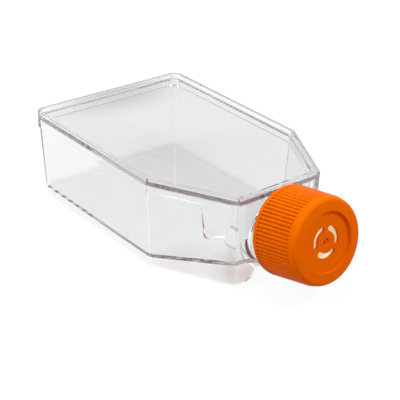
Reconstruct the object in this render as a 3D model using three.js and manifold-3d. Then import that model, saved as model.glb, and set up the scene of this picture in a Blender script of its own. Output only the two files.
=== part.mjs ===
// A small cell culture flask: a clear tub with tapered shoulders and a canted neck, a clear plate welded on
// top, and a vented screw cap with its membrane. Millimetres, +Z up, the neck points towards -Y.
// The flask's own frame has its origin on the base, under the middle of the front rim.
import * as THREE from 'three';
import { mergeVertices } from 'three/addons/utils/BufferGeometryUtils.js';
import Module from 'manifold-3d';

const wasm = await Module();
wasm.setup();

// ---- Tub and plate ----
const flaskWidth = 53.1;
const bodyLength = 78.5;
const flaskHeight = 27;
const frontWidth = 28.4;
const shoulderLength = 23.4;
const wallThickness = 1.3;
const flangeOverhang = 0.35;
const wallDraft = 1.1;
const backCornerRadius = 3;
const backInnerRadius = 2.2;
const backRimRadius = 1.7;
const edgeCornerRadius = 0.3;
const innerCornerRadius = 5;
const rimCornerRadius = 0.3;
const skirtHeight = 2.3;
const floorThickness = 1.1;
const rampRise = 4.35;
const rampThickness = 1.45;
const flangeHeight = 2.5;
const flangeLedge = 0.15;
const mouthChamfer = 0.3;
const plateRimHeight = 2.4;
const plateRecess = 1.2;
const stackingClearance = 0.2;
const archWidth = 13;
const footRadius = 2.8;
const archClearance = 0.45;
const archOverrun = 0.3;

// ---- Neck ----
const neckTilt = THREE.MathUtils.degToRad(11.7);
const neckHeight = 14.5;
const neckOuterRadius = 9.7;
const neckBoreRadius = 8.2;
const neckLength = 16.1;
const neckRootFillet = 2.9;
const lipRounding = 0.35;
const panelInset = 0.03;
const panelEdgeRadius = 0.45;
const panelSink = 0.6;
const panelReach = 8.6;
const panelLean = THREE.MathUtils.degToRad(5.9);
const panelCornerRadius = 1.5;

// ---- Thread, one start, right-handed ----
const threadLead = 4;
const threadHeight = 0.85;
const threadBase = 1.7;
const threadCrest = 0.7;
const neckThreadStart = 6.2;
const neckThreadTurns = 1.75;
const capThreadTurns = 1.25;
const capThreadLag = 0.25;
const threadPhase = 0.0035;

// ---- Cap ----
const runningClearance = 0.3;
const capStandoff = 3.75;
const capLength = 15.2;
const capRadius = 12.4;
const capTaper = 0.35;
const capWall = 1.5;
const capRimLength = 1.35;
const ribCount = 72;
const ribDepth = 0.4;
const ribSetback = 0.02;
// Places round one rib, as shares of its pitch and of its depth.
const ribProfile = [[0, 0], [0.28, 0.12], [0.5, 1], [0.72, 0.12]];
const bandLength = 2.4;
const bandSetback = 0.25;
const bandCornerLength = 1.3;
const bandCornerDepth = 1.1;
const faceCrown = 0.2;
const recessRadius = 8.25;
const recessDepth = 0.75;
const recessSlope = 0.2;
const ventSlotRadius = 3.7;
const ventSlotWidth = 1.45;
const ventSlotSpan = THREE.MathUtils.degToRad(76);
const ventSlotTurn = THREE.MathUtils.degToRad(25);
const ventSlotCount = 3;
const dimpleRadius = 1.1;
const dimpleDepth = 0.4;
const pipRadius = 0.4;
const pipHeight = 0.35;
const roofThickness = 0.8;
const plugThickness = 0.9;
const plugLength = 2;
const membraneRadius = 6.3;
const membraneThickness = 0.25;

// ---- Smoothness of round forms ----
const cornerSteps = 6;
const edgeCornerSteps = 3;
const innerCornerSteps = 4;
const filletSteps = 6;
const neckSides = 72;
const innerSides = 36;
const bandSteps = 4;
const threadStepsPerTurn = 36;

// ---- Sizes that follow ----
const rimWidth = flangeOverhang + wallDraft - stackingClearance;
const seamZ = flaskHeight - plateRimHeight;
const flangeBottomZ = seamZ - flangeHeight;
const floorZ = skirtHeight + floorThickness;
const halfWidth = flaskWidth / 2;
const halfFront = frontWidth / 2;
const capFaceZ = capStandoff + capLength;
const recessZ = capFaceZ - recessDepth;
const roofZ = recessZ - roofThickness;
const sealZ = neckLength + runningClearance;
const ribStartZ = capStandoff + capRimLength;
const ribEndZ = capFaceZ - bandLength;
const bandTopZ = capFaceZ - faceCrown;
const capInnerRadius = neckOuterRadius + threadHeight + runningClearance;
const plugRadius = neckBoreRadius - runningClearance;
const pocketRadius = membraneRadius + runningClearance;
const overshoot = 1;

// ---- Solids ----

// A closed geometry as a solid: shared corners merged, collapsed triangles dropped.
function solidOf(geometry) {
  const bare = geometry.clone();
  bare.deleteAttribute('normal');
  bare.deleteAttribute('uv');
  const merged = mergeVertices(bare, 1e-4);
  const index = merged.index.array;
  const kept = [];
  for (let i = 0; i < index.length; i += 3) {
    const [a, b, c] = [index[i], index[i + 1], index[i + 2]];
    if (a !== b && b !== c && c !== a) kept.push(a, b, c);
  }
  const mesh = new wasm.Mesh({
    numProp: 3,
    vertProperties: new Float32Array(merged.attributes.position.array),
    triVerts: new Uint32Array(kept),
  });
  return new wasm.Manifold(mesh);
}

function geometryOf(solid) {
  const mesh = solid.getMesh();
  const geometry = new THREE.BufferGeometry();
  geometry.setAttribute('position', new THREE.BufferAttribute(mesh.vertProperties, 3));
  geometry.setIndex(new THREE.BufferAttribute(mesh.triVerts, 1));
  return geometry;
}

function unionOf(solids) {
  return solids.reduce((whole, solid) => whole.add(solid));
}

// Rings of points joined into a closed skin. All rings run the same way and have the same count.
function loft(rings) {
  const count = rings[0].length;
  const positions = rings.flat().flatMap((point) => [point.x, point.y, point.z]);
  const triangles = [];
  for (let ring = 0; ring + 1 < rings.length; ring += 1) {
    for (let i = 0; i < count; i += 1) {
      const next = (i + 1) % count;
      const [a, b] = [ring * count + i, ring * count + next];
      const [c, d] = [a + count, b + count];
      triangles.push(a, b, d, a, d, c);
    }
  }
  const flat = (ring) => ring.map((point) => new THREE.Vector2(point.x, point.y));
  const lid = THREE.ShapeUtils.triangulateShape(flat(rings[0]), []);
  const top = (rings.length - 1) * count;
  for (const [a, b, c] of lid) {
    triangles.push(a, c, b);
    triangles.push(top + a, top + b, top + c);
  }
  const geometry = new THREE.BufferGeometry();
  geometry.setAttribute('position', new THREE.Float32BufferAttribute(positions, 3));
  geometry.setIndex(triangles);
  return solidOf(geometry);
}

// A profile of [radius, height] pairs turned about +Z.
function revolve(profile, sides) {
  const points = profile.map(([radius, height]) => new THREE.Vector2(radius, height));
  return solidOf(new THREE.LatheGeometry(points, sides).rotateX(Math.PI / 2));
}

function disc(radius, bottom, top, sides) {
  return revolve([[0, bottom], [radius, bottom], [radius, top], [0, top]], sides);
}

function extruded(shape, depth, curveSegments) {
  return new THREE.ExtrudeGeometry(shape, { depth, bevelEnabled: false, curveSegments });
}

// A shape drawn in (y, z) and pushed through the whole width.
function acrossWidth(shape) {
  const width = flaskWidth + 2 * overshoot;
  const geometry = extruded(shape, width, filletSteps).rotateY(Math.PI / 2).rotateX(Math.PI / 2);
  return solidOf(geometry.translate(-width / 2, 0, 0));
}

// The frame of the canted neck: +Z runs outwards along the neck, +X stays level, +Y leans up.
function neckFrame() {
  return new THREE.Matrix4().makeRotationX(Math.PI / 2 - neckTilt).setPosition(0, 0, neckHeight);
}

function placedOnNeck(solid) {
  return solid.transform(neckFrame().elements);
}

// ---- Outline of the tub ----

// The six corners of the flask seen from above, moved in by an inset, with the radius and arc steps of each.
function outlineCorners(inset, backRadius, edgeRadius, edgeSteps) {
  const shoulder = new THREE.Vector2(halfWidth - halfFront, shoulderLength).normalize();
  const front = halfFront - (inset * (1 - shoulder.x)) / shoulder.y;
  const side = halfWidth - inset;
  const shoulderY = shoulderLength + (inset * (1 - shoulder.y)) / shoulder.x;
  const back = bodyLength - inset;
  const sharp = (x, y) => ({ at: new THREE.Vector2(x, y), radius: edgeRadius, steps: edgeSteps });
  const round = (x, y) => ({ at: new THREE.Vector2(x, y), radius: backRadius, steps: cornerSteps });
  return [
    sharp(front, inset),
    sharp(side, shoulderY),
    round(side, back),
    round(-side, back),
    sharp(-side, shoulderY),
    sharp(-front, inset),
  ];
}

// Each corner becomes an arc that touches both of its sides.
function roundedRing(corners, z) {
  const ring = [];
  corners.forEach(({ at, radius, steps }, i) => {
    const before = corners[(i + corners.length - 1) % corners.length].at.clone().sub(at).normalize();
    const after = corners[(i + 1) % corners.length].at.clone().sub(at).normalize();
    const halfAngle = Math.acos(THREE.MathUtils.clamp(before.dot(after), -1, 1)) / 2;
    const inwards = before.clone().add(after).normalize();
    const centre = inwards.multiplyScalar(radius / Math.sin(halfAngle)).add(at);
    const startAngle = Math.atan2(-before.x, before.y);
    const sweep = Math.PI - 2 * halfAngle;
    for (let step = 0; step <= steps; step += 1) {
      const angle = startAngle - Math.PI + (sweep * step) / steps;
      const x = centre.x + radius * Math.cos(angle);
      const y = centre.y + radius * Math.sin(angle);
      ring.push(new THREE.Vector3(x, y, z));
    }
  });
  return ring;
}

function outerRing(inset, z) {
  return roundedRing(outlineCorners(inset, backCornerRadius, edgeCornerRadius, edgeCornerSteps), z);
}

function innerRing(inset, z) {
  return roundedRing(outlineCorners(inset, backInnerRadius, innerCornerRadius, innerCornerSteps), z);
}

function rimRing(inset, z) {
  return roundedRing(outlineCorners(inset, backRimRadius, rimCornerRadius, edgeCornerSteps), z);
}

// How far the tub's outer wall stands in from the rim at a height: it drafts inwards towards the base.
function wallInset(z) {
  return flangeOverhang + wallDraft * (1 - z / flangeBottomZ);
}

// ---- The tub ----

function flange() {
  return loft([
    outerRing(wallInset(flangeBottomZ), flangeBottomZ),
    outerRing(0, flangeBottomZ + flangeLedge),
    outerRing(0, seamZ),
  ]);
}

function tubOutside() {
  const wall = loft([outerRing(wallInset(0), 0), outerRing(wallInset(flangeBottomZ), flangeBottomZ)]);
  return wall.add(flange());
}

// The panel round the neck hangs straight down from the flange to the neck's middle plane.
// Its back edge leans.
function neckPanel() {
  const top = seamZ - panelSink;
  const corners = outlineCorners(panelInset, backCornerRadius, panelEdgeRadius, edgeCornerSteps);
  const skin = loft([roundedRing(corners, 0), roundedRing(corners, top)]);
  const reach = 2 * flaskHeight;
  const cornerX = panelCornerRadius * Math.tan(Math.PI / 4 + panelLean / 2) - panelReach;
  const side = new THREE.Shape();
  side.moveTo(reach, 0);
  side.lineTo(reach, reach);
  side.lineTo(reach * Math.tan(panelLean) - panelReach, reach);
  side.absarc(cornerX, panelCornerRadius, panelCornerRadius, Math.PI - panelLean, 1.5 * Math.PI, false);
  const width = flaskWidth + 2 * overshoot;
  const prism = extruded(side, width, filletSteps).rotateY(-Math.PI / 2).translate(width / 2, 0, 0);
  return skin.intersect(placedOnNeck(solidOf(prism)));
}

// A point on the neck's axis, measured outwards from the front rim's plane.
function neckCentre(along) {
  return new THREE.Vector3(0, -along * Math.cos(neckTilt), neckHeight + along * Math.sin(neckTilt));
}

// A circle of points that faces forwards and leans up by a tilt, with a flat at its lowest place.
function tiltedRing(centre, radius, tilt) {
  const ring = [];
  for (let i = 0; i < neckSides; i += 1) {
    const angle = (2 * Math.PI * (i + 0.5)) / neckSides;
    const point = new THREE.Vector3(radius * Math.cos(angle), radius * Math.sin(angle), 0);
    ring.push(point.applyAxisAngle(new THREE.Vector3(1, 0, 0), Math.PI / 2 - tilt).add(centre));
  }
  return ring;
}

// The neck grows out of the front wall through rings that turn from the wall's plane to the neck's.
// Its root stays below the seam.
function neckOutside() {
  const rootAlong = -wallInset(neckHeight) / Math.cos(neckTilt);
  const root = [tiltedRing(neckCentre(rootAlong - wallThickness / 2), neckOuterRadius + neckRootFillet, 0)];
  for (let step = 0; step <= filletSteps; step += 1) {
    const share = step / filletSteps;
    const angle = (Math.PI / 2) * share;
    const centre = neckCentre(rootAlong + neckRootFillet * (1 - Math.cos(angle)));
    const radius = neckOuterRadius + neckRootFillet * (1 - Math.sin(angle));
    root.push(tiltedRing(centre, radius, neckTilt * share));
  }
  root.flat().forEach((point) => point.setZ(Math.min(point.z, seamZ)));
  const lip = [
    tiltedRing(neckCentre(neckLength - lipRounding), neckOuterRadius, neckTilt),
    tiltedRing(neckCentre(neckLength), neckOuterRadius - lipRounding, neckTilt),
  ];
  return ringSkin([...root, ...lip]);
}

// Rings in space joined into a closed skin, with a fan of triangles over each end.
function ringSkin(rings) {
  const count = rings[0].length;
  const positions = rings.flat().flatMap((point) => [point.x, point.y, point.z]);
  const triangles = [];
  for (let ring = 0; ring + 1 < rings.length; ring += 1) {
    for (let i = 0; i < count; i += 1) {
      const [a, b] = [ring * count + i, ring * count + ((i + 1) % count)];
      triangles.push(a, b, b + count, a, b + count, a + count);
    }
  }
  const top = (rings.length - 1) * count;
  for (let i = 1; i + 1 < count; i += 1) {
    triangles.push(0, i + 1, i);
    triangles.push(top, top + i, top + i + 1);
  }
  const geometry = new THREE.BufferGeometry();
  geometry.setAttribute('position', new THREE.Float32BufferAttribute(positions, 3));
  geometry.setIndex(triangles);
  return solidOf(geometry);
}

// One screw ridge with its flanks carried on into the wall. Each end sinks into the wall over a short run.
// A small turn keeps its sections off the corner lines of the wall.
function threadRidge({ root, crest, base, tip, start, turns, turnStart, sink }) {
  const steps = Math.round(turns * threadStepsPerTurn);
  const runOut = threadStepsPerTurn / 8;
  const height = crest - root;
  const buried = root - Math.sign(height) * sink;
  const spread = (base - tip) / 2 / Math.abs(height);
  const rings = [];
  for (let step = 0; step <= steps; step += 1) {
    const turn = turnStart + threadPhase + step / threadStepsPerTurn;
    const rise = Math.min(1, Math.min(step, steps - step) / runOut);
    const radius = root - height / 5 + height * 1.2 * rise;
    const halfBase = base / 2 + spread * sink;
    const halfTip = halfBase - spread * Math.abs(radius - buried);
    const section = [[buried, -halfBase], [radius, -halfTip], [radius, halfTip], [buried, halfBase]];
    const ordered = height > 0 ? section : section.reverse();
    const angle = 2 * Math.PI * turn;
    const middle = start + threadLead * turn;
    const onWall = ([r, z]) => new THREE.Vector3(r * Math.cos(angle), r * Math.sin(angle), middle + z);
    rings.push(ordered.map(onWall));
  }
  return ringSkin(rings);
}

function neckThread() {
  return threadRidge({
    root: neckOuterRadius,
    crest: neckOuterRadius + threadHeight,
    base: threadBase,
    tip: threadCrest,
    start: neckThreadStart,
    turns: neckThreadTurns,
    turnStart: 0,
    sink: (neckOuterRadius - neckBoreRadius) / 2,
  });
}

// The space inside the walls and above the floor, up through the open top with its chamfered mouth.
function chamber() {
  const wallAt = (z) => wallInset(z) + wallThickness;
  const chamferZ = seamZ - mouthChamfer;
  return loft([
    innerRing(wallAt(floorZ), floorZ),
    innerRing(wallAt(chamferZ), chamferZ),
    innerRing(wallAt(seamZ) - mouthChamfer, seamZ),
    innerRing(wallAt(seamZ) - mouthChamfer, seamZ + overshoot),
  ]);
}

function rampWedge() {
  const shape = new THREE.Shape();
  shape.moveTo(shoulderLength, floorZ - overshoot);
  shape.lineTo(shoulderLength, floorZ);
  shape.lineTo(0, floorZ + rampRise);
  shape.lineTo(0, floorZ - overshoot);
  return acrossWidth(shape);
}

// A round channel that runs in through the neck and levels out above the floor, all through the ramp.
function neckChannel(radius) {
  const levelZ = floorZ + neckBoreRadius;
  const bend = neckCentre((levelZ - neckHeight) / Math.sin(neckTilt));
  return ringSkin([
    tiltedRing(new THREE.Vector3(0, shoulderLength + overshoot, levelZ), radius, 0),
    tiltedRing(bend, radius, neckTilt / 2),
    tiltedRing(neckCentre(neckLength + overshoot), radius, neckTilt),
  ]);
}

// The hollow under the floor, the ramp and the channel, inside the skirt.
function underside() {
  const inset = wallInset(0) + wallThickness;
  const skirt = loft([innerRing(inset, -overshoot), innerRing(inset, neckHeight)]);
  const shape = new THREE.Shape();
  shape.moveTo(bodyLength, -overshoot);
  shape.lineTo(bodyLength, skirtHeight);
  shape.lineTo(shoulderLength, skirtHeight);
  shape.lineTo(0, floorZ + rampRise - rampThickness);
  shape.lineTo(0, -overshoot);
  return skirt.intersect(acrossWidth(shape)).subtract(neckChannel(neckBoreRadius + floorThickness));
}

// The arch in the front of the skirt, under the neck. Its feet are rounded.
function arch() {
  const half = archWidth / 2;
  const top = neckHeight - neckOuterRadius - archClearance;
  const shape = new THREE.Shape();
  shape.moveTo(half + footRadius + overshoot, -overshoot);
  shape.lineTo(half + footRadius + overshoot, 0);
  shape.lineTo(half + footRadius, 0);
  shape.absarc(half + footRadius, footRadius, footRadius, -Math.PI / 2, -Math.PI, true);
  shape.lineTo(half, top);
  shape.lineTo(-half, top);
  shape.lineTo(-half, footRadius);
  shape.absarc(-half - footRadius, footRadius, footRadius, 0, -Math.PI / 2, true);
  shape.lineTo(-half - footRadius - overshoot, 0);
  shape.lineTo(-half - footRadius - overshoot, -overshoot);
  const back = wallInset(0) + wallThickness + archOverrun;
  const depth = neckOuterRadius;
  return solidOf(extruded(shape, depth, filletSteps).rotateX(Math.PI / 2).translate(0, back, 0));
}

function flaskBody() {
  const outside = unionOf([tubOutside(), neckPanel(), neckOutside(), placedOnNeck(neckThread())]);
  return outside
    .subtract(chamber().subtract(rampWedge()))
    .subtract(neckChannel(neckBoreRadius))
    .subtract(underside())
    .subtract(arch());
}

// ---- The plate ----

function topPlate() {
  const plate = loft([outerRing(0, seamZ), outerRing(0, flaskHeight)]);
  const sheetTop = flaskHeight - plateRecess;
  const well = loft([rimRing(rimWidth, sheetTop), rimRing(rimWidth, flaskHeight + overshoot)]);
  return plate.subtract(well);
}

// ---- The cap ----

function capOutside() {
  const frontRadius = capRadius - capTaper;
  const bandRadius = frontRadius - bandSetback;
  const profile = [
    [0, capStandoff],
    [capRadius - lipRounding / 2, capStandoff],
    [capRadius, capStandoff + lipRounding / 2],
    [capRadius, ribStartZ],
    [frontRadius, ribEndZ],
    [bandRadius, ribEndZ + bandSetback],
    [bandRadius, bandTopZ - bandCornerLength],
  ];
  for (let step = 1; step <= bandSteps; step += 1) {
    const angle = (Math.PI / 2) * (step / bandSteps);
    profile.push([
      bandRadius - bandCornerDepth * (1 - Math.cos(angle)),
      bandTopZ - bandCornerLength * (1 - Math.sin(angle)),
    ]);
  }
  profile.push([recessRadius, capFaceZ], [recessRadius - recessSlope, recessZ], [0, recessZ]);
  return revolve(profile, ribCount);
}

// A sleeve round the grip whose inside is the outline of the ribs, tapered with the cap.
function gripCutter() {
  const outer = new THREE.Shape();
  outer.absarc(0, 0, capRadius + overshoot, 0, 2 * Math.PI, false);
  const outline = [];
  for (let rib = 0; rib < ribCount; rib += 1) {
    for (const [share, depth] of ribProfile) {
      const angle = (2 * Math.PI * (rib + share)) / ribCount;
      const radius = capRadius - ribSetback - ribDepth * depth;
      outline.push(new THREE.Vector2(radius * Math.cos(angle), radius * Math.sin(angle)));
    }
  }
  outer.holes.push(new THREE.Path(outline));
  const length = ribEndZ - ribStartZ;
  const geometry = extruded(outer, length, ribCount);
  const position = geometry.attributes.position;
  for (let i = 0; i < position.count; i += 1) {
    const taper = 1 - (capTaper / capRadius) * (position.getZ(i) / length);
    position.setXY(i, position.getX(i) * taper, position.getY(i) * taper);
  }
  return solidOf(geometry.translate(0, 0, ribStartZ));
}

function capInside() {
  return revolve([
    [0, capStandoff - overshoot],
    [capInnerRadius + lipRounding, capStandoff - overshoot],
    [capInnerRadius + lipRounding, capStandoff],
    [capInnerRadius, capStandoff + 2 * lipRounding],
    [capInnerRadius, sealZ],
    [pocketRadius, sealZ],
    [pocketRadius, roofZ],
    [0, roofZ],
  ], innerSides);
}

function plugRing() {
  const inner = plugRadius - plugThickness;
  return revolve([
    [inner, sealZ - plugLength],
    [plugRadius - plugThickness / 3, sealZ - plugLength],
    [plugRadius, sealZ - plugLength * 0.75],
    [plugRadius, sealZ + overshoot / 2],
    [inner, sealZ + overshoot / 2],
    [inner, sealZ - plugLength],
  ], innerSides);
}

function ventSlot(middle) {
  const inner = ventSlotRadius - ventSlotWidth / 2;
  const outer = ventSlotRadius + ventSlotWidth / 2;
  const from = middle - ventSlotSpan / 2;
  const to = middle + ventSlotSpan / 2;
  const shape = new THREE.Shape();
  const endAt = (angle, start) => {
    const [x, y] = [ventSlotRadius * Math.cos(angle), ventSlotRadius * Math.sin(angle)];
    shape.absarc(x, y, ventSlotWidth / 2, start, start + Math.PI, false);
  };
  shape.absarc(0, 0, outer, from, to, false);
  endAt(to, to);
  shape.absarc(0, 0, inner, to, from, true);
  endAt(from, from + Math.PI);
  const depth = roofThickness + 2 * overshoot;
  return solidOf(extruded(shape, depth, filletSteps).translate(0, 0, roofZ - overshoot));
}

function dimple() {
  const hollow = revolve([
    [0, recessZ - dimpleDepth],
    [dimpleRadius - dimpleDepth, recessZ - dimpleDepth],
    [dimpleRadius, recessZ],
    [dimpleRadius, recessZ + overshoot],
    [0, recessZ + overshoot],
  ], innerSides / 2);
  const pip = disc(pipRadius, recessZ - overshoot, recessZ - dimpleDepth + pipHeight, innerSides / 2);
  return hollow.subtract(pip);
}

function capThread() {
  return threadRidge({
    root: capInnerRadius,
    crest: neckOuterRadius + runningClearance,
    base: threadBase - runningClearance,
    tip: threadCrest,
    start: neckThreadStart - threadLead / 2,
    turns: capThreadTurns,
    turnStart: capThreadLag,
    sink: (capWall - ribDepth) / 3,
  });
}

function capBody() {
  const shell = capOutside().subtract(gripCutter()).subtract(capInside());
  const slots = [];
  for (let i = 0; i < ventSlotCount; i += 1) {
    slots.push(ventSlot(ventSlotTurn + (2 * Math.PI * i) / ventSlotCount));
  }
  return unionOf([shell, plugRing(), capThread()]).subtract(unionOf(slots)).subtract(dimple());
}

function membraneDisc() {
  const top = roofZ - runningClearance;
  return disc(membraneRadius, top - membraneThickness, top, innerSides);
}

// ---- The assembly ----

function part(name, solid, look) {
  const material = new THREE.MeshStandardMaterial(look);
  const mesh = new THREE.Mesh(geometryOf(solid), material);
  mesh.name = name;
  return mesh;
}

const clearLook = { color: '#dfe3e4', roughness: 0.08, metalness: 0, transparent: true, opacity: 0.35 };
const orangeLook = { color: '#e8630c', roughness: 0.42, metalness: 0 };
const membraneLook = { color: '#f3e6c8', roughness: 0.85, metalness: 0 };

const flask = new THREE.Group();
flask.add(part('flask_body', flaskBody(), clearLook));
flask.add(part('top_plate', topPlate(), clearLook));

const neck = new THREE.Group();
neck.applyMatrix4(neckFrame());
neck.add(part('cap', capBody(), orangeLook));
neck.add(part('vent_membrane', membraneDisc(), membraneLook));
flask.add(neck);

// The finished part stands with its origin under the middle of its whole length.
const centre = new THREE.Box3().setFromObject(flask, true).getCenter(new THREE.Vector3());
flask.position.set(-centre.x, -centre.y, 0);

const model = new THREE.Group();
model.add(flask);
export default model;
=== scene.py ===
# A cell culture flask: a clear tub and its plate, an orange vented cap and the filter disc inside it.
import math

import bpy
from mathutils import Matrix, Vector


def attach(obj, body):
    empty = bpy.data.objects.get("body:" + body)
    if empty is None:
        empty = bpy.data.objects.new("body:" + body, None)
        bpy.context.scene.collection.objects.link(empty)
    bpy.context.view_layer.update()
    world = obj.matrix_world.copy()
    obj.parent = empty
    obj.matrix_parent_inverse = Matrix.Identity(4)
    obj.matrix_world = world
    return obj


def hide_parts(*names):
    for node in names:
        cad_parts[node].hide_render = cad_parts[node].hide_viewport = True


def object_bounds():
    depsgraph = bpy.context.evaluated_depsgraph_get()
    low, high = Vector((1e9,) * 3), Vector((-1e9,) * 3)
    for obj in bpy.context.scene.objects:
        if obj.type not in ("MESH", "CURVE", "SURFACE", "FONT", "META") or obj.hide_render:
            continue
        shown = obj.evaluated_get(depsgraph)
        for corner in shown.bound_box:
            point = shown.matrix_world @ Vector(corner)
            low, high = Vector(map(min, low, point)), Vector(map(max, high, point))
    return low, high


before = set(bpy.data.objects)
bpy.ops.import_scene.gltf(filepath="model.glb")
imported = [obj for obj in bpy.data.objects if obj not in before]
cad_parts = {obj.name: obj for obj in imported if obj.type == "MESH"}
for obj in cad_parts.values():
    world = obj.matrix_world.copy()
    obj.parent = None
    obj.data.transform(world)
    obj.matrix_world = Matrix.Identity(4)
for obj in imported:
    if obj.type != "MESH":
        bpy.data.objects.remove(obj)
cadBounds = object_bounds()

print("stage: frame loaded,", len(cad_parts), "nodes")

cameraValues = {
    "azimuth": -40.03,  # degrees, and 0 looks along +Y
    "elevation": 27.93,
    "roll": 2.12,
    "lens": 105.3,  # millimetres, as the sensor is
    "sensor": 36.0,
    "distance": 0.32484,  # metres, as the rest is
    "aimFromCentre": (-0.00648, -0.003965, -0.001078),
    "clipStart": 0.01,
}


def boundsCentre():
    low, high = cadBounds
    return (Vector(low) + Vector(high)) / 2


def addCamera(values):
    azimuth = math.radians(values["azimuth"])
    elevation = math.radians(values["elevation"])
    roll = math.radians(values["roll"])
    back = Vector((math.sin(azimuth) * math.cos(elevation), -math.cos(azimuth) * math.cos(elevation),
                   math.sin(elevation)))
    level = Vector((math.cos(azimuth), math.sin(azimuth), 0))
    upright = back.cross(level)
    across = math.cos(roll) * level + math.sin(roll) * upright
    upward = math.cos(roll) * upright - math.sin(roll) * level
    place = boundsCentre() + Vector(values["aimFromCentre"]) + back * values["distance"]
    turned = Matrix((across, upward, back)).transposed().to_4x4()
    data = bpy.data.cameras.new("camera")
    data.lens = values["lens"]
    data.sensor_width = values["sensor"]
    data.clip_start = values["clipStart"]
    camera = bpy.data.objects.new("camera", data)
    bpy.context.scene.collection.objects.link(camera)
    camera.matrix_world = Matrix.Translation(place) @ turned
    bpy.context.scene.camera = camera


addCamera(cameraValues)
print("stage: camera placed")

white = (1, 1, 1, 1)
black = (0, 0, 0, 1)


def newMaterial(name):
    material = bpy.data.materials.new(name)
    material.use_nodes = True
    nodes = material.node_tree.nodes
    return material, nodes, material.node_tree.links, nodes["Principled BSDF"]


def setInputs(node, inputs):
    for name, value in inputs.items():
        node.inputs[name].default_value = value


def addNode(nodes, kind, inputs=None, **settings):
    node = nodes.new(kind)
    for name, value in settings.items():
        setattr(node, name, value)
    setInputs(node, inputs or {})
    return node


def addTogether(nodes, links, first, second):
    both = nodes.new("ShaderNodeAddShader")
    links.new(first.outputs[0], both.inputs[0])
    links.new(second.outputs[0], both.inputs[1])
    return both


skinValues = {
    "ripple": {"Detail": 2.0, "Roughness": 0.4},
    "rippleHeight": 0.001,
    "grain": {"Detail": 3.0, "Roughness": 0.6},
    "grainHeight": 0.0001,
}


# The faint unevenness of a moulded skin: broad ripples and a fine grain.
def mouldedSkinGroup(values):
    tree = bpy.data.node_groups.new("mouldedSkin", "ShaderNodeTree")
    for name in ("Ripple Scale", "Grain Scale", "Ripple Depth", "Grain Depth"):
        tree.interface.new_socket(name, in_out="INPUT", socket_type="NodeSocketFloat")
    tree.interface.new_socket("Shade", in_out="OUTPUT", socket_type="NodeSocketFloat")
    tree.interface.new_socket("Normal", in_out="OUTPUT", socket_type="NodeSocketVector")
    nodes, links = tree.nodes, tree.links
    entry = nodes.new("NodeGroupInput")
    leave = nodes.new("NodeGroupOutput")
    place = nodes.new("ShaderNodeTexCoord")
    ripple = addNode(nodes, "ShaderNodeTexNoise", values["ripple"])
    grain = addNode(nodes, "ShaderNodeTexNoise", values["grain"])
    broad = addNode(nodes, "ShaderNodeBump", {"Distance": values["rippleHeight"]})
    fine = addNode(nodes, "ShaderNodeBump", {"Distance": values["grainHeight"]})
    for noise, bump, kind in ((ripple, broad, "Ripple"), (grain, fine, "Grain")):
        links.new(place.outputs["Object"], noise.inputs["Vector"])
        links.new(entry.outputs[kind + " Scale"], noise.inputs["Scale"])
        links.new(entry.outputs[kind + " Depth"], bump.inputs["Strength"])
        links.new(noise.outputs["Fac"], bump.inputs["Height"])
    links.new(broad.outputs["Normal"], fine.inputs["Normal"])
    links.new(ripple.outputs["Fac"], leave.inputs["Shade"])
    links.new(fine.outputs["Normal"], leave.inputs["Normal"])
    return tree


mouldedSkin = mouldedSkinGroup(skinValues)


def addMouldedSkin(nodes, inputs):
    return addNode(nodes, "ShaderNodeGroup", inputs, node_tree=mouldedSkin)


meshValues = {
    "mergeWithin": 1e-6,
    "flatAngle": 0.3,  # degrees: faces that bend less become one
    "edgeAngle": 32,  # edges that bend more are rounded
    "edgeSegments": 2,
    "smoothAngle": 40,  # edges that bend less are shaded smooth
    "flatWeight": 100,
}


def selectOnly(piece):
    bpy.ops.object.select_all(action="DESELECT")
    piece.select_set(True)
    bpy.context.view_layer.objects.active = piece


# A copy of a solid with its triangles merged into whole faces and its edges finely rounded.
def solidCopy(nodeName, pieceName, material, edgeWidth):
    piece = bpy.data.objects.new(pieceName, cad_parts[nodeName].data.copy())
    bpy.context.scene.collection.objects.link(piece)
    selectOnly(piece)
    piece.data.materials.clear()
    piece.data.materials.append(material)
    bpy.ops.object.mode_set(mode="EDIT")
    bpy.ops.mesh.select_all(action="SELECT")
    bpy.ops.mesh.remove_doubles(threshold=meshValues["mergeWithin"])
    bpy.ops.mesh.customdata_custom_splitnormals_clear()
    bpy.ops.mesh.dissolve_limited(angle_limit=math.radians(meshValues["flatAngle"]), delimit={"NORMAL"})
    bpy.ops.object.mode_set(mode="OBJECT")
    bevel = piece.modifiers.new("roundedEdges", "BEVEL")
    bevel.width = edgeWidth
    bevel.segments = meshValues["edgeSegments"]
    bevel.limit_method = "ANGLE"
    bevel.angle_limit = math.radians(meshValues["edgeAngle"])
    bpy.ops.object.modifier_apply(modifier=bevel.name)
    return piece


# Large faces keep their own normal, so that only the rounded edges look curved.
def shadeFlatFirst(piece):
    selectOnly(piece)
    bpy.ops.object.shade_smooth_by_angle(angle=math.radians(meshValues["smoothAngle"]))
    flatFirst = piece.modifiers.new("flatFirst", "WEIGHTED_NORMAL")
    flatFirst.mode = "FACE_AREA"
    flatFirst.weight = meshValues["flatWeight"]
    flatFirst.keep_sharp = True
    bpy.ops.object.modifier_apply(modifier=flatFirst.name)


# The other mesh becomes part of the piece, and what was between the two goes.
def weldOn(piece, other):
    selectOnly(piece)
    weld = piece.modifiers.new("weld", "BOOLEAN")
    weld.operation = "UNION"
    weld.solver = "EXACT"
    weld.object = other
    bpy.ops.object.modifier_apply(modifier=weld.name)
    bpy.data.objects.remove(other)


def finishPiece(piece, body, slotName, *nodeNames):
    shadeFlatFirst(piece)
    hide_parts(*nodeNames)
    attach(piece, body)


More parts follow.
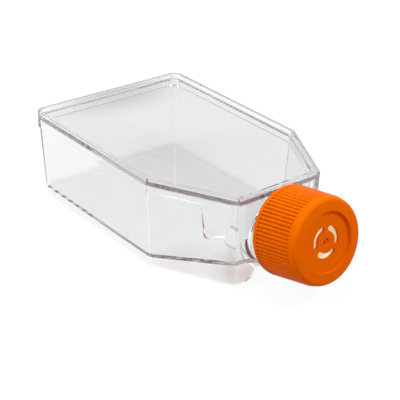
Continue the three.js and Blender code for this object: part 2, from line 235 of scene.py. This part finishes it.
clearFlaskValues = {
    "tubEdge": 0.00015,
    "plateEdge": 0.00012,
    "colour": (0.955, 0.961, 0.959, 1),
    "clear": 1.0,
    "ior": 1.59,
    "roughLow": 0.0,
    "roughHigh": 0.02,
    "haze": 13.0,
    "hazeTint": (1.0, 0.60, 0.80, 1),
    "hazeGlow": 1.7,
    "skin": {"Ripple Scale": 60.0, "Grain Scale": 900.0, "Ripple Depth": 0.02, "Grain Depth": 0.0},
}


# The haze takes light away along its path and gives a little back, as many weak inner reflections do.
def clearPolystyrene(values):
    material, nodes, links, shader = newMaterial("clearPolystyrene")
    skin = addMouldedSkin(nodes, values["skin"])
    rough = addNode(nodes, "ShaderNodeMapRange",
                    {"To Min": values["roughLow"], "To Max": values["roughHigh"]})
    links.new(skin.outputs["Shade"], rough.inputs["Value"])
    links.new(rough.outputs["Result"], shader.inputs["Roughness"])
    links.new(skin.outputs["Normal"], shader.inputs["Normal"])
    setInputs(shader, {"Base Color": values["colour"], "IOR": values["ior"],
                       "Transmission Weight": values["clear"]})
    soak = addNode(nodes, "ShaderNodeVolumeAbsorption", {"Color": black, "Density": values["haze"]})
    glow = addNode(nodes, "ShaderNodeEmission",
                   {"Color": values["hazeTint"], "Strength": values["hazeGlow"]})
    haze = addTogether(nodes, links, soak, glow)
    links.new(haze.outputs[0], nodes["Material Output"].inputs["Volume"])
    return material


# The plate is welded to the tub, so the two are one closed shell with no wall between them.
def makeClearFlask(values):
    look = clearPolystyrene(values)
    clearFlask = solidCopy("flask_body", "clearFlask", look, values["tubEdge"])
    weldOn(clearFlask, solidCopy("top_plate", "plateCopy", look, values["plateEdge"]))
    finishPiece(clearFlask, "flask", "clear_polystyrene", "flask_body", "top_plate")


makeClearFlask(clearFlaskValues)
print("stage: clear flask made")

ventedCapValues = {
    "edge": 0.00008,
    "light": (0.82, 0.156, 0.0, 1),
    "dark": (0.77, 0.127, 0.0, 1),
    # Painted shade: the deep colour darkens the hollows between the ribs, the recess walls and the slot
    # walls.
    "deep": (0.45, 0.035, 0.0, 1),  # in the hollows between the ribs
    "hollowReach": 0.0013,
    "hollowRays": 8,
    "deepUpTo": 0.25,  # share of open directions
    "plainFrom": 0.62,
    "roughness": 0.3,
    "ior": 1.5,
    "specular": 0.02,
    "gloss": (1.0, 0.55, 0.03, 1),
    "skin": {"Ripple Scale": 180.0, "Grain Scale": 4000.0, "Ripple Depth": 0.05, "Grain Depth": 0.15},
}


def capPlastic(values):
    material, nodes, links, shader = newMaterial("capPlastic")
    skin = addMouldedSkin(nodes, values["skin"])
    tone = addNode(nodes, "ShaderNodeMix", {"A": values["dark"], "B": values["light"]}, data_type="RGBA")
    # Painted shade: ambient occlusion turns the base colour deep wherever a hollow would be in shade.
    hollow = addNode(nodes, "ShaderNodeAmbientOcclusion", {"Distance": values["hollowReach"]},
                     samples=values["hollowRays"], only_local=True)
    depth = addNode(nodes, "ShaderNodeMapRange",
                    {"From Min": values["deepUpTo"], "From Max": values["plainFrom"]})
    hollowShaded = addNode(nodes, "ShaderNodeMix", {"A": values["deep"]}, data_type="RGBA")
    links.new(skin.outputs["Shade"], tone.inputs["Factor"])
    links.new(hollow.outputs["AO"], depth.inputs["Value"])
    links.new(depth.outputs["Result"], hollowShaded.inputs["Factor"])
    links.new(tone.outputs["Result"], hollowShaded.inputs["B"])
    links.new(hollowShaded.outputs["Result"], shader.inputs["Base Color"])
    links.new(skin.outputs["Normal"], shader.inputs["Normal"])
    setInputs(shader, {"Roughness": values["roughness"], "IOR": values["ior"],
                       "Specular IOR Level": values["specular"], "Specular Tint": values["gloss"]})
    return material


def makeVentedCap(values):
    ventedCap = solidCopy("cap", "ventedCap", capPlastic(values), values["edge"])
    finishPiece(ventedCap, "screw_cap", "orange_plastic", "cap")


makeVentedCap(ventedCapValues)
print("stage: vented cap made")

filterDiscValues = {
    "edge": 0.00003,
    "light": (0.96, 0.98, 0.82, 1),
    "dark": (0.93, 0.93, 0.72, 1),
    "roughness": 0.8,
    # Painted glow: the film emits light as though it were lit through from behind.
    "glowTint": (0.90, 1.0, 0.60, 1),  # light that comes through the thin film from behind
    "glow": 0.38,
    "skin": {"Ripple Scale": 300.0, "Grain Scale": 6000.0, "Ripple Depth": 0.1, "Grain Depth": 0.5},
}


def membraneFilm(values):
    material, nodes, links, shader = newMaterial("membraneFilm")
    skin = addMouldedSkin(nodes, values["skin"])
    tone = addNode(nodes, "ShaderNodeMix", {"A": values["dark"], "B": values["light"]}, data_type="RGBA")
    links.new(skin.outputs["Shade"], tone.inputs["Factor"])
    links.new(tone.outputs["Result"], shader.inputs["Base Color"])
    links.new(skin.outputs["Normal"], shader.inputs["Normal"])
    # The emission is a painted glow, not a lamp.
    setInputs(shader, {"Roughness": values["roughness"], "Emission Color": values["glowTint"],
                       "Emission Strength": values["glow"]})
    return material


def makeFilterDisc(values):
    filterDisc = solidCopy("vent_membrane", "filterDisc", membraneFilm(values), values["edge"])
    finishPiece(filterDisc, "vent", "filter_membrane", "vent_membrane")


makeFilterDisc(filterDiscValues)
print("stage: filter disc made")

# The bench looks white by itself and in mirrored light. The clear plastic shows it with soft patches of
# painted shadow, and what bounces off it is a dim warm light.
floorValues = {
    "size": 6.0,
    "seen": {
        "glow": 1.0,
        "matt": (0.1, 0.1, 0.1, 1),
        "shades": (  # makes up for the light of the lamps
            {"middle": (0, 0), "reach": (0.8, 0.8), "tint": (0.92, 0.92, 0.92, 1)},
        ),
    },
    "through": {
        "glow": 0.91,
        "matt": (0.12, 0.12, 0.12, 1),
        # painted shadows: under the neck and cap, warm as from the orange cap, and darker behind the flask
        "shades": (
            {"middle": (-0.006, -0.023), "reach": (0.014, 0.014), "tint": (0.70, 0.61, 0.58, 1)},
            {"middle": (-0.017, -0.010), "reach": (0.015, 0.012), "tint": (0.88, 0.86, 0.855, 1)},
            {"middle": (0.024, 0.050), "reach": (0.022, 0.022), "tint": (0.90, 0.90, 0.90, 1)},
            {"middle": (0.036, 0.098), "reach": (0.035, 0.022), "tint": (0.50, 0.50, 0.51, 1)},
        ),
    },
    "bounce": (0.42, 0.25, 0.23, 1),
}


# Painted shade: soft darker patches on the bench, each fading out over its reach.
def paintedShadeTint(nodes, links, shades):
    place = nodes.new("ShaderNodeTexCoord")
    colour = None
    for shade in shades:
        across, along = shade["reach"]
        location = (-shade["middle"][0] / across, -shade["middle"][1] / along, 0)
        scale = (1 / across, 1 / along, 1)
        moved = addNode(nodes, "ShaderNodeMapping", {"Location": location, "Scale": scale})
        spot = addNode(nodes, "ShaderNodeTexGradient", gradient_type="SPHERICAL")
        soft = addNode(nodes, "ShaderNodeMapRange", interpolation_type="SMOOTHSTEP")
        tint = addNode(nodes, "ShaderNodeMix", {"A": white, "B": shade["tint"]}, data_type="RGBA")
        links.new(place.outputs["Object"], moved.inputs["Vector"])
        links.new(moved.outputs["Vector"], spot.inputs["Vector"])
        links.new(spot.outputs["Fac"], soft.inputs["Value"])
        links.new(soft.outputs["Result"], tint.inputs["Factor"])
        if colour is None:
            colour = tint.outputs["Result"]
            continue
        both = addNode(nodes, "ShaderNodeMix", {"Factor": 1}, data_type="RGBA", blend_type="MULTIPLY")
        links.new(colour, both.inputs["A"])
        links.new(tint.outputs["Result"], both.inputs["B"])
        colour = both.outputs["Result"]
    return colour


def glowingSheet(nodes, links, values):
    glow = addNode(nodes, "ShaderNodeEmission", {"Strength": values["glow"]})
    links.new(paintedShadeTint(nodes, links, values["shades"]), glow.inputs["Color"])
    matt = addNode(nodes, "ShaderNodeBsdfDiffuse", {"Color": values["matt"]})
    return addTogether(nodes, links, glow, matt)


def chooseShader(nodes, links, factor, usual, special):
    choose = nodes.new("ShaderNodeMixShader")
    links.new(factor, choose.inputs["Fac"])
    links.new(usual.outputs[0], choose.inputs[1])
    links.new(special.outputs[0], choose.inputs[2])
    return choose


def whiteFloor(values):
    bpy.ops.object.select_all(action="DESELECT")
    bpy.ops.mesh.primitive_plane_add(size=values["size"], location=(0, 0, cadBounds[0][2]))
    floor = bpy.context.object
    floor.name = "studioFloor"
    material, nodes, links, shader = newMaterial("studioFloor")
    nodes.remove(shader)
    path = nodes.new("ShaderNodeLightPath")
    seen = addNode(nodes, "ShaderNodeMath", operation="MAXIMUM")
    links.new(path.outputs["Is Camera Ray"], seen.inputs[0])
    links.new(path.outputs["Is Glossy Ray"], seen.inputs[1])
    bounce = addNode(nodes, "ShaderNodeBsdfDiffuse", {"Color": values["bounce"]})
    straight = glowingSheet(nodes, links, values["seen"])
    through = glowingSheet(nodes, links, values["through"])
    bare = chooseShader(nodes, links, seen.outputs[0], bounce, straight)
    look = chooseShader(nodes, links, path.outputs["Is Transmission Ray"], bare, through)
    links.new(look.outputs[0], nodes["Material Output"].inputs["Surface"])
    floor.data.materials.append(material)


# Clear and glossy surfaces see a room that is white up to a height and dim above. Matt ones are lit by one
# even tone, and the camera sees white all over.
worldValues = {
    "diffuseLight": (0.50, 0.41, 0.41, 1),
    "dimRoom": (0.56, 0.51, 0.54, 1),
    "whiteUpTo": 0.20,  # height on a sphere of radius 1
    "dimFrom": 0.34,
}


def studioWorld(values):
    world = bpy.data.worlds.new("studio")
    bpy.context.scene.world = world
    world.use_nodes = True
    nodes, links = world.node_tree.nodes, world.node_tree.links
    nodes.clear()
    output = nodes.new("ShaderNodeOutputWorld")
    path = nodes.new("ShaderNodeLightPath")
    place = nodes.new("ShaderNodeTexCoord")
    split = nodes.new("ShaderNodeSeparateXYZ")
    height = addNode(nodes, "ShaderNodeMapRange",
                     {"From Min": values["whiteUpTo"], "From Max": values["dimFrom"]})
    room = addNode(nodes, "ShaderNodeMix", {"A": white, "B": values["dimRoom"]}, data_type="RGBA")
    lit = addNode(nodes, "ShaderNodeMix", {"B": values["diffuseLight"]}, data_type="RGBA")
    shown = addNode(nodes, "ShaderNodeMix", {"B": white}, data_type="RGBA")
    background = nodes.new("ShaderNodeBackground")
    links.new(place.outputs["Generated"], split.inputs[0])
    links.new(split.outputs["Z"], height.inputs["Value"])
    links.new(height.outputs["Result"], room.inputs["Factor"])
    links.new(path.outputs["Is Diffuse Ray"], lit.inputs["Factor"])
    links.new(room.outputs["Result"], lit.inputs["A"])
    links.new(path.outputs["Is Camera Ray"], shown.inputs["Factor"])
    links.new(lit.outputs["Result"], shown.inputs["A"])
    links.new(shown.outputs["Result"], background.inputs["Color"])
    links.new(background.outputs[0], output.inputs["Surface"])


# The top lamp stays out of mirrored and clear light, or the plate would show it as a hard white patch.
lampValues = {
    "sideLamp": {"place": (-0.62, 0.10, 0.55), "size": 0.35, "power": 3.1, "colour": (0.88, 1.0, 1.0),
                 "mirrored": True},
    "topLamp": {"place": (-0.05, 0.20, 0.90), "size": 0.5, "power": 3.5, "colour": (0.84, 1.0, 1.0),
                "mirrored": False},
    "faceLamp": {"place": (0.36, -0.46, 0.64), "size": 0.2, "power": 3.65, "colour": (0.92, 1.0, 1.0),
                 "mirrored": True},
}


def addLamp(name, values):
    data = bpy.data.lights.new(name, "AREA")
    data.shape = "SQUARE"
    data.size = values["size"]
    data.energy = values["power"]
    data.color = values["colour"]
    lamp = bpy.data.objects.new(name, data)
    bpy.context.scene.collection.objects.link(lamp)
    lamp.location = Vector(values["place"])
    lamp.visible_glossy = values["mirrored"]
    lamp.visible_transmission = values["mirrored"]
    lamp.rotation_euler = (boundsCentre() - lamp.location).to_track_quat("-Z", "Y").to_euler()


whiteFloor(floorValues)
studioWorld(worldValues)
for lampName, lampSet in lampValues.items():
    addLamp(lampName, lampSet)

# Light goes to and fro many times inside the clear walls before it comes out.
bounceValues = {
    "all": 100,
    "transmission": 100,
    "glossy": 100,
    "transparent": 12,
}

bpy.context.scene.view_settings.view_transform = "Standard"
cycles = bpy.context.scene.cycles
cycles.max_bounces = bounceValues["all"]
cycles.transmission_bounces = bounceValues["transmission"]
cycles.glossy_bounces = bounceValues["glossy"]
cycles.transparent_max_bounces = bounceValues["transparent"]
print("stage: studio lit")
